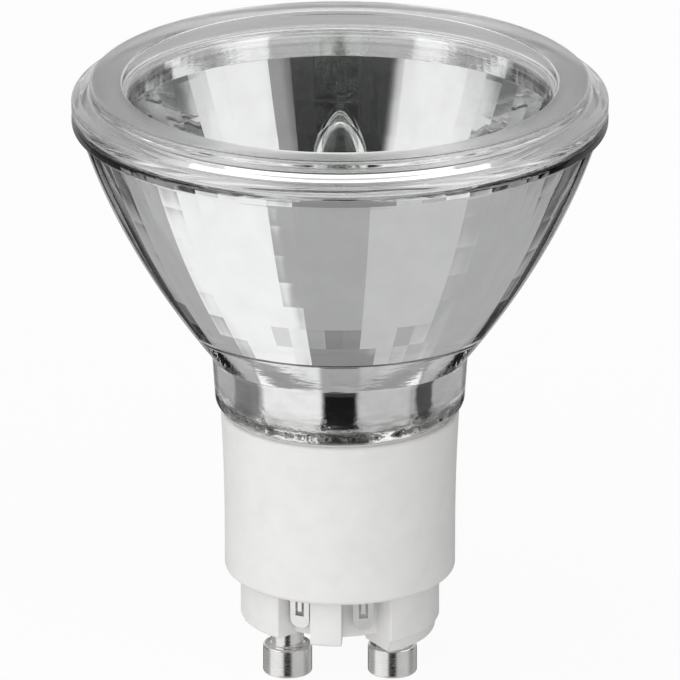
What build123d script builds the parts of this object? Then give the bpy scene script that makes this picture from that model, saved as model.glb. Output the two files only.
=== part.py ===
from build123d import *
import os
from math import sqrt

# Reflector lamp with a metal halide burner, a faceted glass reflector and a twist-lock two-pin base.
# Millimetres. The lamp's axis is Z, front glass up, z = 0 at the free ends of the contact pins.
# The pins stand along X, and the keyed front of the skirt faces -Y.

# Contact pins
PIN_PITCH = 10.0
PIN_HEAD_DIAMETER = 4.7
PIN_HEAD_HEIGHT = 2.9
PIN_HEAD_ROUND = 0.25
PIN_SHANK_DIAMETER = 3.1
PIN_REACH = 6.12  # free end of a pin to the underside of the skirt
PIN_COLLAR_WIDTH = 0.55  # riveted collar beyond the shank, on the floor of the base
PIN_COLLAR_HEIGHT = 0.6
PIN_FIT = 0.04  # radial clearance of a shank in the ceramic

# Ceramic base
BASE_DIAMETER = 21.96
BASE_FLARE = 0.35  # growth in radius towards the neck
BASE_FLARE_HEIGHT = 12.0
BASE_HEIGHT = 16.05
BASE_WALL = 2.4
BASE_FLOOR = 1.9  # floor of the cavity above the underside of the body
BASE_EDGE_ROUND = 0.5
BASE_TOP_ROUND = 0.45
CAVITY_ROUND = 1.0
SKIRT_HEIGHT = 4.78
SKIRT_INSET = 1.53  # outside of the body to the outside of the legs
SKIRT_DEPTH = 2.45  # radial depth of the pockets
SKIRT_EDGE_ROUND = 0.4
LEG_START = 300.0  # angles about Z, degrees from +X, repeated half a turn on
LEG_SWEEP = 112.4
KEY_START = 251.7
KEY_SWEEP = 19.8
STEP_SWEEP = 60.0  # lower step of a leg, as far round as the pin
STEP_HEIGHT = 1.17
STEP_INSET = 0.25
STEP_DEPTH = 4.6

# Crimp tags in the two front pockets
TAG_STANDOFF = 0.7  # back wall of the pocket to the tag
TAG_ARM_WIDTH = 0.55
TAG_SLIT_WIDTH = 0.24
TAG_TAB_WIDTH = 0.42  # inner tab between the arms
TAG_TAB_HEIGHT = 1.65
TAG_BRIDGE_HEIGHT = 0.35  # root that joins the arms and the tab
TAG_SLIT_HEIGHT = 2.1
TAG_FOOT_HEIGHT = 1.15
TAG_THICKNESS = 0.45
TAG_TIP_ROUND = 0.85

# Reflector
RIM_DIAMETER = 50.3
RIM_WIDTH = 2.65  # edge of the flange to the mouth of the bowl
BOWL_DEPTH = 19.85
BOWL_WALL = 2.35  # radial
BOWL_BULGE = 0.25  # more wall half way up
FLANGE_THICKNESS = 1.0
FLANGE_ROUND = 0.3
NECK_HEIGHT = 9.55
NECK_OVERHANG = 0.42  # neck beyond the top of the base
NECK_TAPER = 0.35
NECK_WALL = 2.75
NECK_EDGE_ROUND = 1.3
CREASE_DROP = 4.05  # bowl and neck meet this far below the throat
CREASE_ROUND = 0.8
BORE_FLARE = 0.3  # growth in radius of the bore from the crease up to the throat
THROAT_LEDGE = 3.78
FACET_COLUMNS = 60
FACET_ROWS = 6
FACET_TURN = 1.0  # degrees
BAND_WIDTH = 1.39  # smooth band between the facets and the mouth, radial
BAND_STEP = 0.1  # from the corners of the facets out to the band

# Bonds of the base and the burner
BASE_BOND = 0.15
BURNER_CEMENT_HEIGHT = 4.3

# Ring with an L section, under the front glass and down inside the mouth
SEAL_THICKNESS = 0.1
SEAL_INSET = 0.55  # edge of the flange to the edge of the ring
SEAL_LIFT = 0.6  # foot of the lip above the facets

# Front glass
GLASS_HEIGHT = 3.05
GLASS_EDGE_HEIGHT = 1.4
GLASS_EDGE_ROUND = 0.45
SHELF_WIDTH = 0.8  # ledge that climbs from the edge
SHELF_RISE = 0.35
SHELF_ROUND = 0.3
BEAD_INSET = 1.7
BEAD_ROUND = 0.4
CROWN_WIDTH = 1.35
LIP_WIDTH = 1.7
LIP_DROP = 0.2
LIP_ROUND = 0.3
WINDOW_THICKNESS = 2.0
WINDOW_DRAFT = 0.25
WINDOW_ROUND = 0.4
PLUG_DEPTH = 0.6  # underside of the window below the seat
PLUG_CLEARANCE = 0.4

# Quartz bulb and its pinch seal
BULB_DIAMETER = 5.5
BULB_WALL = 0.6
BULB_TIP_HEIGHT = 6.0
NOSE_SHOULDER = 0.43  # pull of the nose's curve along the side, as a share of its height
NOSE_BLUNTNESS = 0.44  # and across the tip, as a share of its radius
BULB_TIP_WALL = 1.7
BULB_TIP_CLEARANCE = 1.0
BULB_FLOOR = 1.6
BULB_FOOT_ROUND = 1.8
PINCH_LENGTH = 9.0
PINCH_THICKNESS = 2.4
PINCH_MARGIN = 0.75
PINCH_ROUND = 0.7
PINCH_RISE = 0.9  # top of the pinch above the foot of the neck

# Arc tube and what carries it
ARC_DIAMETER = 3.0
ARC_LENGTH = 6.0
ARC_WALL = 0.45
ARC_ROUND = 1.1
CAPILLARY_DIAMETER = 1.3
ELECTRODE_DIAMETER = 0.5
ELECTRODE_STUB = 1.2
ELECTRODE_TIP = 0.9  # reach into the chamber
FRIT_DIAMETER = 1.0
FRIT_HEIGHT = 0.35
LEAD_DIAMETER = 0.4
LEAD_BEND = 0.5
LEAD_TOP_CLEARANCE = 0.4  # upper hook below the nose of the bulb
LEAD_LOW_CLEARANCE = 1.8  # lower hook above the floor of the bulb
FOIL_WIDTH = 1.4
FOIL_THICKNESS = 0.12
FOIL_COVER = 1.7  # quartz above and below a foil

# Wires from the pinch to the pins
WIRE_DIAMETER = 0.7
WIRE_BEND = 1.0
WIRE_DROP = 1.0  # straight stretch under the pinch and above the collar
WIRE_FIT = 0.12
WIRE_SEAT = 4.5  # depth of the wire in its pin

# Radii that follow
pin_x = PIN_PITCH / 2
pin_head_r = PIN_HEAD_DIAMETER / 2
pin_shank_r = PIN_SHANK_DIAMETER / 2
pin_collar_r = pin_shank_r + PIN_COLLAR_WIDTH
wire_r = WIRE_DIAMETER / 2
base_r = BASE_DIAMETER / 2
base_top_r = base_r + BASE_FLARE
cavity_r = base_r - BASE_WALL
skirt_r = base_r - SKIRT_INSET
core_r = skirt_r - SKIRT_DEPTH
neck_foot_r = base_top_r + NECK_OVERHANG
neck_top_r = neck_foot_r + NECK_TAPER
bore_r = neck_foot_r - NECK_WALL
throat_r = bore_r + THROAT_LEDGE
rim_r = RIM_DIAMETER / 2
mouth_r = rim_r - RIM_WIDTH
band_r = mouth_r - BAND_WIDTH
seal_lip_r = band_r - SEAL_THICKNESS
plug_r = seal_lip_r - PLUG_CLEARANCE
bulb_r = BULB_DIAMETER / 2
bulb_bore_r = bulb_r - BULB_WALL
arc_r = ARC_DIAMETER / 2
lead_r = LEAD_DIAMETER / 2
electrode_r = ELECTRODE_DIAMETER / 2
lead_x = (arc_r + bulb_bore_r) / 2

# Heights that follow, from the pins up
skirt_z = PIN_REACH
body_z = skirt_z + SKIRT_HEIGHT
floor_z = body_z + BASE_FLOOR
collar_z = floor_z + PIN_COLLAR_HEIGHT
base_top_z = body_z + BASE_HEIGHT
neck_z = base_top_z + BASE_BOND
throat_z = neck_z + NECK_HEIGHT
crease_z = throat_z - CREASE_DROP
mouth_z = throat_z + BOWL_DEPTH
flange_z = mouth_z - FLANGE_THICKNESS
seat_z = mouth_z + SEAL_THICKNESS
window_low_z = seat_z - PLUG_DEPTH
window_top_z = window_low_z + WINDOW_THICKNESS
crown_z = seat_z + GLASS_HEIGHT
pinch_top_z = neck_z + PINCH_RISE
pinch_z = pinch_top_z - PINCH_LENGTH
bulb_floor_z = pinch_top_z + BULB_FLOOR
bulb_tip_z = window_low_z - BULB_TIP_CLEARANCE
ogive_z = bulb_tip_z - BULB_TIP_HEIGHT
lead_top_z = ogive_z - LEAD_TOP_CLEARANCE
lead_low_z = bulb_floor_z + LEAD_LOW_CLEARANCE
arc_z = (lead_low_z + lead_top_z) / 2
arc_half = ARC_LENGTH / 2
electrode_end = (lead_top_z - lead_low_z) / 2 - lead_r
capillary_end = electrode_end - ELECTRODE_STUB
foil_top_z = pinch_top_z - FOIL_COVER
foil_z = pinch_z + FOIL_COVER


def soften(sketch, *corners):
    """Round the corner of the sketch nearest to each (x, y) by its radius."""
    for x, y, radius in corners:
        sketch = fillet(sketch.vertices().sort_by_distance((x, y))[0], radius)
    return sketch


def turned(outline):
    """Turn a face drawn in radius and height about the lamp's axis."""
    return revolve(Plane.XZ * outline, Axis.Z)


def straight_sided(*points):
    """A flat face with straight sides through the points."""
    return make_face(Polyline(*points, close=True))


def disc(radius, low, high):
    """A round bar on the lamp's axis from one height to another."""
    return Pos(0, 0, low) * Cylinder(radius, high - low, align=(Align.CENTER, Align.CENTER, Align.MIN))


def sector(inner, outer, start, sweep, low, high):
    """An upright block between two radii and two angles, with its outer corners rounded."""
    outer_arc = CenterArc((0, 0), outer, start, sweep)
    inner_arc = CenterArc((0, 0), inner, start, sweep)
    sides = [Line(outer_arc @ end, inner_arc @ end) for end in (0, 1)]
    outline = make_face([outer_arc, inner_arc, *sides])
    corners = [outer_arc @ end for end in (0, 1)]
    outline = soften(outline, *[(point.X, point.Y, SKIRT_EDGE_ROUND) for point in corners])
    return Pos(0, 0, low) * extrude(outline, high - low)


def bent_rod(points, bend, radius):
    """A round rod along straight runs in the XZ plane, joined by arcs of one radius."""
    path = FilletPolyline(*[(x, 0, z) for x, z in points], radius=bend)
    section = Plane(origin=path @ 0, z_dir=path % 0) * Circle(radius)
    return sweep(section, path)


def bowl_radius(z):
    """Radius of the mirror at a height: a paraboloid from the throat to the mouth."""
    rise = (z - throat_z) / (mouth_z - throat_z)
    return sqrt(throat_r**2 + rise * (mouth_r**2 - throat_r**2))


def bowl_height(radius):
    """Height on the mirror's paraboloid at a radius."""
    rise = (radius**2 - throat_r**2) / (mouth_r**2 - throat_r**2)
    return throat_z + rise * (mouth_z - throat_z)


def contact_pin(side):
    """Pin with a wide head, a shank through the ceramic, a riveted collar and a bore for its wire."""
    bore = wire_r + WIRE_FIT
    bore_z = collar_z - WIRE_SEAT
    outline = straight_sided(
        (0, 0),
        (pin_head_r, 0),
        (pin_head_r, PIN_HEAD_HEIGHT),
        (pin_shank_r, PIN_HEAD_HEIGHT),
        (pin_shank_r, floor_z),
        (pin_collar_r, floor_z),
        (pin_collar_r, collar_z),
        (bore, collar_z),
        (bore, bore_z),
        (0, bore_z),
    )
    edges = [(pin_head_r, z, PIN_HEAD_ROUND) for z in (0, PIN_HEAD_HEIGHT)]
    return Pos(side * pin_x, 0, 0) * turned(soften(outline, *edges))


def ceramic_base():
    """Flared cup over a keyed skirt: two legs with lower steps and two keys, with pockets between."""
    flare_z = base_top_z - BASE_FLARE_HEIGHT
    flare_mid = (base_r + BASE_FLARE / 4, flare_z + BASE_FLARE_HEIGHT / 2)
    flare = ThreePointArc((base_r, flare_z), flare_mid, (base_top_r, base_top_z))
    walls = Polyline(
        (base_top_r, base_top_z),
        (cavity_r, base_top_z),
        (cavity_r, floor_z),
        (0, floor_z),
        (0, body_z),
        (base_r, body_z),
        (base_r, flare_z),
    )
    outline = soften(
        make_face([flare, walls]),
        (base_r, body_z, BASE_EDGE_ROUND),
        (base_top_r, base_top_z, BASE_TOP_ROUND),
        (cavity_r, floor_z, CAVITY_ROUND),
    )
    base = turned(outline) + disc(core_r, skirt_z, body_z)
    root_r = core_r - SKIRT_DEPTH / 2
    for turn in (0, 180):
        base += sector(root_r, skirt_r, LEG_START + turn, LEG_SWEEP, skirt_z, body_z)
        base += sector(root_r, skirt_r, KEY_START + turn, KEY_SWEEP, skirt_z, body_z)
        step_r = skirt_r - STEP_INSET
        step_in = step_r - STEP_DEPTH
        base += sector(step_in, step_r, LEG_START + turn, STEP_SWEEP, skirt_z - STEP_HEIGHT, skirt_z)
    for side in (-1, 1):
        base -= Pos(side * pin_x, 0, 0) * disc(pin_shank_r + PIN_FIT, 0, floor_z)
    return base


def crimp_tag(angle):
    """Upright tongue with a round foot, cut into two arms and a short inner tab, in front of a pocket."""
    tab_half = TAG_TAB_WIDTH / 2
    slit_half = tab_half + TAG_SLIT_WIDTH
    half = slit_half + TAG_ARM_WIDTH
    slit_low = -TAG_BRIDGE_HEIGHT - TAG_SLIT_HEIGHT
    low = slit_low - TAG_FOOT_HEIGHT
    tongue = straight_sided((-half, 0), (half, 0), (half, low), (-half, low))
    tongue = soften(tongue, (half, low, TAG_TIP_ROUND), (-half, low, TAG_TIP_ROUND))
    top = -TAG_BRIDGE_HEIGHT
    cut = straight_sided((-slit_half, top), (slit_half, top), (slit_half, slit_low), (-slit_half, slit_low))
    tab_low = top - TAG_TAB_HEIGHT
    tab = straight_sided((-tab_half, top), (tab_half, top), (tab_half, tab_low), (-tab_half, tab_low))
    wall = Plane(origin=(core_r + TAG_STANDOFF, 0, body_z), x_dir=(0, 1, 0), z_dir=(1, 0, 0))
    return Rot(0, 0, angle) * extrude(wall * (tongue - (cut - tab)), TAG_THICKNESS)


def mirror_hollow():
    """Hollow of the bowl: rings of flat facets between evenly stepped polygons, then a round band."""
    step = (band_r - throat_r) / FACET_ROWS
    band_z = bowl_height(band_r)
    rings = []
    for row in range(FACET_ROWS + 1):
        radius = throat_r + row * step
        polygon = RegularPolygon(radius, FACET_COLUMNS, rotation=FACET_TURN)
        rings.append(Pos(0, 0, bowl_height(radius)) * polygon)
    band = straight_sided((0, band_z), (band_r + BAND_STEP, band_z), (mouth_r, mouth_z), (0, mouth_z))
    return loft(rings, ruled=True) + turned(band)


def reflector():
    """Pressed glass bowl: an arc-sided outside with a flange and a neck, and a faceted inside."""
    mid_z = (crease_z + flange_z) / 2
    bowl_top_r = bowl_radius(flange_z) + BOWL_WALL
    bowl_mid_r = bowl_radius(mid_z) + BOWL_WALL + BOWL_BULGE
    side = ThreePointArc((neck_top_r, crease_z), (bowl_mid_r, mid_z), (bowl_top_r, flange_z))
    rest = Polyline(
        (bowl_top_r, flange_z),
        (rim_r, flange_z),
        (rim_r, mouth_z),
        (0, mouth_z),
        (0, neck_z),
        (neck_foot_r, neck_z),
        (neck_top_r, crease_z),
    )
    outline = soften(
        make_face([side, rest]),
        (rim_r, flange_z, FLANGE_ROUND),
        (rim_r, mouth_z, FLANGE_ROUND),
        (neck_foot_r, neck_z, NECK_EDGE_ROUND),
        (neck_top_r, crease_z, CREASE_ROUND),
    )
    bore = straight_sided(
        (0, neck_z),
        (bore_r, neck_z),
        (bore_r, crease_z),
        (bore_r + BORE_FLARE, throat_z),
        (0, throat_z),
    )
    return turned(outline) - mirror_hollow() - turned(bore)


def front_glass():
    """Pressed disc: a round edge, a climbing shelf, a crowned bead and a recessed flat window."""
    edge_z = seat_z + GLASS_EDGE_HEIGHT
    shelf_r = rim_r - SHELF_WIDTH
    bead_r = rim_r - BEAD_INSET
    crown_r = bead_r - CROWN_WIDTH
    lip_r = crown_r - LIP_WIDTH
    window_r = lip_r - WINDOW_DRAFT
    shelf_z = edge_z + SHELF_RISE
    outline = straight_sided(
        (0, window_low_z),
        (plug_r, window_low_z),
        (plug_r, seat_z),
        (rim_r, seat_z),
        (rim_r, edge_z),
        (shelf_r, shelf_z),
        (bead_r, shelf_z + SHELF_RISE / 2),
        (bead_r, crown_z),
        (crown_r, crown_z),
        (lip_r, crown_z - LIP_DROP),
        (window_r, window_top_z),
        (0, window_top_z),
    )
    outline = soften(
        outline,
        (rim_r, seat_z, GLASS_EDGE_ROUND),
        (rim_r, edge_z, GLASS_EDGE_ROUND),
        (bead_r, shelf_z + SHELF_RISE / 2, SHELF_ROUND),
        (bead_r, crown_z, BEAD_ROUND),
        (lip_r, crown_z - LIP_DROP, LIP_ROUND),
        (window_r, window_top_z, WINDOW_ROUND),
    )
    return turned(outline)


def front_seal():
    """Thin ring with an L section: flat under the front glass, with a lip down inside the mouth."""
    outer = rim_r - SEAL_INSET
    lip_z = bowl_height(band_r) + SEAL_LIFT
    return turned(
        straight_sided(
            (seal_lip_r, lip_z),
            (band_r, lip_z),
            (band_r, mouth_z),
            (outer, mouth_z),
            (outer, seat_z),
            (seal_lip_r, seat_z),
        )
    )


def base_cement():
    """Thin ring between the top of the ceramic cup and the foot of the neck."""
    outer = base_top_r - BASE_TOP_ROUND
    inner = cavity_r
    return turned(
        straight_sided((inner, base_top_z), (outer, base_top_z), (outer, neck_z), (inner, neck_z))
    )


def bullet(radius, foot, low, high, foot_round):
    """Turned solid: a cylinder with a rounded foot, then a slender round nose from low up to high."""
    shoulder = (radius, low + NOSE_SHOULDER * (high - low))
    tip = (radius * NOSE_BLUNTNESS, high)
    nose = Bezier((radius, low), shoulder, tip, (0, high))
    walls = Polyline((0, high), (0, foot), (radius, foot), (radius, low))
    return turned(soften(make_face([nose, walls]), (radius, foot, foot_round)))


def quartz_blank():
    """Outside of the bulb: a pointed tube whose foot stands in a flat, round-shouldered pinch."""
    half = lead_x + FOIL_WIDTH / 2 + PINCH_MARGIN
    top = pinch_top_z + BULB_FLOOR / 2
    flat = straight_sided((-half, pinch_z), (half, pinch_z), (half, top), (-half, top))
    corners = [(side * half, z, PINCH_ROUND) for side in (-1, 1) for z in (pinch_z, top)]
    pinch = extrude(Plane.XZ * soften(flat, *corners), PINCH_THICKNESS / 2, both=True)
    return pinch + bullet(bulb_r, pinch_top_z, ogive_z, bulb_tip_z, BULB_FOOT_ROUND)


def foil(side):
    """Foil strip in the pinch."""
    strip = Box(FOIL_WIDTH, FOIL_THICKNESS, foil_top_z - foil_z)
    return Pos(side * lead_x, 0, (foil_z + foil_top_z) / 2) * strip


def frame_lead(side, hook_z):
    """Frame wire that stands on a foil, climbs through the bulb and hooks over to the axis."""
    return bent_rod([(side * lead_x, foil_top_z), (side * lead_x, hook_z), (0, hook_z)], LEAD_BEND, lead_r)


def lead_wire(side):
    """Wire from the underside of a foil, out of the pinch and down into its pin."""
    points = [
        (side * lead_x, foil_z),
        (side * lead_x, pinch_z - WIRE_DROP),
        (side * pin_x, collar_z + WIRE_DROP),
        (side * pin_x, collar_z - WIRE_SEAT),
    ]
    return bent_rod(points, WIRE_BEND, wire_r)


def quartz_bulb():
    """The blank, hollowed round the arc tube and moulded round the foils and wires of the pinch."""
    hollow_round = BULB_FOOT_ROUND - BULB_WALL
    hollow = bullet(bulb_bore_r, bulb_floor_z, ogive_z, bulb_tip_z - BULB_TIP_WALL, hollow_round)
    bulb = quartz_blank() - hollow
    for side in (-1, 1):
        bulb -= foil(side)
        bulb -= lead_wire(side)
    return bulb - frame_lead(1, lead_top_z) - frame_lead(-1, lead_low_z)


def burner_cement():
    """Plug of cement in the neck, moulded round the foot of the bulb."""
    return disc(bore_r, neck_z, neck_z + BURNER_CEMENT_HEIGHT) - quartz_blank()


def arc_tube():
    """Round-shouldered ceramic chamber between two capillaries, bored for the electrodes."""
    capillary_r = CAPILLARY_DIAMETER / 2
    barrel = straight_sided((0, -arc_half), (arc_r, -arc_half), (arc_r, arc_half), (0, arc_half))
    barrel = soften(barrel, (arc_r, -arc_half, ARC_ROUND), (arc_r, arc_half, ARC_ROUND))
    inner_r = arc_r - ARC_WALL
    inner_half = arc_half - ARC_WALL
    chamber = straight_sided((0, -inner_half), (inner_r, -inner_half), (inner_r, inner_half), (0, inner_half))
    inner_round = ARC_ROUND - ARC_WALL
    chamber = soften(chamber, (inner_r, -inner_half, inner_round), (inner_r, inner_half, inner_round))
    tube = turned(barrel) + disc(capillary_r, -capillary_end, capillary_end)
    tube = tube - turned(chamber) - disc(electrode_r, -capillary_end, capillary_end)
    return Pos(0, 0, arc_z) * tube


def electrode(end):
    """Rod through one capillary, from the chamber to the frame wire."""
    tip = arc_half - ARC_WALL - ELECTRODE_TIP
    low, high = sorted((end * tip, end * electrode_end))
    return Pos(0, 0, arc_z) * disc(electrode_r, low, high)


def frit(end):
    """Sealing ring where the rod leaves the capillary."""
    low, high = sorted((end * capillary_end, end * (capillary_end + FRIT_HEIGHT)))
    return Pos(0, 0, arc_z) * (disc(FRIT_DIAMETER / 2, low, high) - disc(electrode_r, low, high))


left_pocket = LEG_START + LEG_SWEEP - 180
left_pocket_middle = (left_pocket + KEY_START) / 2
right_pocket_middle = (KEY_START + KEY_SWEEP + LEG_START) / 2

pieces = {
    "front_glass": front_glass(),
    "front_seal": front_seal(),
    "reflector": reflector(),
    "base_cement": base_cement(),
    "ceramic_base": ceramic_base(),
    "left_contact_pin": contact_pin(-1),
    "right_contact_pin": contact_pin(1),
    "left_crimp_tag": crimp_tag(left_pocket_middle),
    "right_crimp_tag": crimp_tag(right_pocket_middle),
    "burner_cement": burner_cement(),
    "quartz_bulb": quartz_bulb(),
    "arc_tube": arc_tube(),
    "upper_electrode": electrode(1),
    "lower_electrode": electrode(-1),
    "upper_frit": frit(1),
    "lower_frit": frit(-1),
    "return_lead": frame_lead(1, lead_top_z),
    "short_lead": frame_lead(-1, lead_low_z),
    "left_foil": foil(-1),
    "right_foil": foil(1),
    "left_lead_wire": lead_wire(-1),
    "right_lead_wire": lead_wire(1),
}

os.makedirs("parts", exist_ok=True)
for name, piece in pieces.items():
    export_step(piece, f"parts/{name}.step")
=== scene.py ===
import bpy
import numpy as np
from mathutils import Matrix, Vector


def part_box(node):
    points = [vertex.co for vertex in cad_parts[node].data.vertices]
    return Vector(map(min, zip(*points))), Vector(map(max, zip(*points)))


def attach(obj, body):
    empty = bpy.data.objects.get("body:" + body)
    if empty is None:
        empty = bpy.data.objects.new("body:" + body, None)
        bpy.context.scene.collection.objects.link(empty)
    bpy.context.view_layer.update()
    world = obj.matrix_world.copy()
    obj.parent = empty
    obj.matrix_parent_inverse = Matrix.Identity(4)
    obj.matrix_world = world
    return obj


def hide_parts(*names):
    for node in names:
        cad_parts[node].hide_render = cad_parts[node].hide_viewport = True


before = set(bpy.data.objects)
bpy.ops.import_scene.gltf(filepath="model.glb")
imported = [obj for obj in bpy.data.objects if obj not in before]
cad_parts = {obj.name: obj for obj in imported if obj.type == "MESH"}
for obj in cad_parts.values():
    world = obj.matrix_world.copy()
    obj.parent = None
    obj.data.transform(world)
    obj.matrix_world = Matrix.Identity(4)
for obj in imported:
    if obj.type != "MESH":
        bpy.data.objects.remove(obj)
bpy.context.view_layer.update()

bl_info = {
    "name": "Reflector lamp looks",
    "version": (1, 0, 0),
    "blender": (4, 5, 0),
    "location": "3D View > Sidebar > Lamp",
    "description": "Dresses a metal halide reflector lamp in glass, mirror, ceramic and nickel",
    "category": "Object",
}

MM = 0.001
TAU = 2 * np.pi

# Extents of the solids, in millimetres: lowest and highest corner of each node.
solid = {name: tuple(np.array(corner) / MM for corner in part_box(name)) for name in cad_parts}
rim_r = solid["front_glass"][1][0]
window_low_z = solid["front_glass"][0][2]
crown_z = solid["front_glass"][1][2]
neck_z = solid["reflector"][0][2]
mouth_z = solid["reflector"][1][2]
base_top_r = solid["ceramic_base"][1][0]
base_top_z = solid["ceramic_base"][1][2]
step_z = solid["ceramic_base"][0][2]
pin_x = (solid["right_contact_pin"][0][0] + solid["right_contact_pin"][1][0]) / 2
pin_r = (solid["right_contact_pin"][1][0] - solid["right_contact_pin"][0][0]) / 2
pin_top_z = solid["right_contact_pin"][1][2]
bulb_tip_z = solid["quartz_bulb"][1][2]
pinch_z = solid["quartz_bulb"][0][2]
pinch_half = solid["quartz_bulb"][1][0]
bulb_r = solid["quartz_bulb"][1][1]

# Lengths that the boxes don't give, in millimetres.
MIRROR_DEPTH = 19.85  # throat to mouth
MIRROR_LATUS_RECTUM = 17.276  # of the mirror's paraboloid
CREASE_HEIGHT = 5.5  # neck's foot to the crease under the bowl
BORE_RADIUS = 9.03
BORE_FLARE = 0.42  # widening of the bore up to the throat
TOUCHING = 1e-6  # points closer than this are one

# The mirror's facets.
FACET_START = np.radians(1.0)
FACET_SPLIT = 4  # faces along each side of a facet
STRAY_FALL = 0.45  # stray of a ring's corners as a share of that of the ring below

# Arcs of the skirt, each also half a turn on: start and sweep, in degrees.
LEG_ARC = (300, 112.4)
KEY_ARC = (251.7, 19.8)
STEP_ARC = (300, 60.0)

# Columns of faces round a piece.
RIM_COLUMNS = 256
PIN_COLUMNS = 128
BULB_COLUMNS = 96
FLOOR_COLUMNS = 96

# Middle range of a noise's values, and where a ramp's first and last colours stand on it.
NOISE_RANGE = (0.35, 0.65)
RAMP_ENDS = (0.3, 0.7)


def rounded(points, radii, steps=6):
    """An open profile with arcs at its corners.

    At a corner the two sides leave by unit vectors a and b. The arc's centre lies on their bisector at
    radius / sin(half angle), and the arc turns evenly from one tangent point to the other. One more point on
    each side, a sixth of the radius away, keeps the shading of the flats.
    """
    points = np.asarray(points, float)
    radii = np.asarray(radii, float)[:, None]
    corner = points[1:-1]
    a = points[:-2] - corner
    b = points[2:] - corner
    a = a / np.linalg.norm(a, axis=1, keepdims=True)
    b = b / np.linalg.norm(b, axis=1, keepdims=True)
    half = np.arccos(np.clip((a * b).sum(1, keepdims=True), -1, 1)) / 2
    reach = radii / np.tan(half)
    bisector = (a + b) / np.linalg.norm(a + b, axis=1, keepdims=True)
    centre = corner + bisector * radii / np.sin(half)
    first = corner + a * reach - centre
    last = corner + b * reach - centre
    turn = (np.pi - 2 * half)[:, None]
    t = np.linspace(0, 1, steps)[None, :, None]
    arcs = (first[:, None] * np.sin((1 - t) * turn) + last[:, None] * np.sin(t * turn)) / np.sin(turn)
    arcs = arcs + centre[:, None]
    lead = (corner + a * (reach + radii / 6))[:, None]
    trail = (corner + b * (reach + radii / 6))[:, None]
    inner = np.concatenate([lead, arcs, trail], axis=1).reshape(-1, 2)
    profile = np.concatenate([points[:1], inner, points[-1:]])
    moved = np.linalg.norm(np.diff(profile, axis=0), axis=1) > TOUCHING
    return profile[np.concatenate([[True], moved])]


def refined(profile, longest):
    """The profile with even extra points on each side longer than the given length."""
    lengths = np.linalg.norm(np.diff(profile, axis=0), axis=1)
    counts = np.maximum(1, np.ceil(lengths / longest).astype(int))
    side = np.repeat(np.arange(len(lengths)), counts)
    begins = np.repeat(np.cumsum(counts) - counts, counts)
    share = (np.arange(counts.sum()) - begins) / np.repeat(counts, counts)
    body = profile[side] + (profile[side + 1] - profile[side]) * share[:, None]
    return np.concatenate([body, profile[-1:]])


def turned(profile, angles):
    """A profile turned about Z, a row for each of its points: x = r cos, y = r sin, z as it is."""
    radius, height = profile[:, :1], profile[:, 1:]
    level = np.broadcast_to(height, (len(profile), len(angles)))
    return np.stack([radius * np.cos(angles), radius * np.sin(angles), level], axis=-1)


def even_angles(count, start=0.0):
    """Evenly spaced angles round a full turn."""
    return start + np.arange(count) * TAU / count


def smooth_step(low, high, value):
    """0 below low, 1 above high, and 3 t^2 - 2 t^3 between."""
    t = np.clip((value - low) / (high - low), 0, 1)
    return t * t * (3 - 2 * t)


def speckle(row, column):
    """A fixed number from -1 to 1 for each row and column: the fraction of a large sine."""
    mixed = 12.9898 * row + 78.233 * column
    return 2 * np.modf(np.abs(np.sin(mixed) * 43758.5453))[0] - 1


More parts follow.
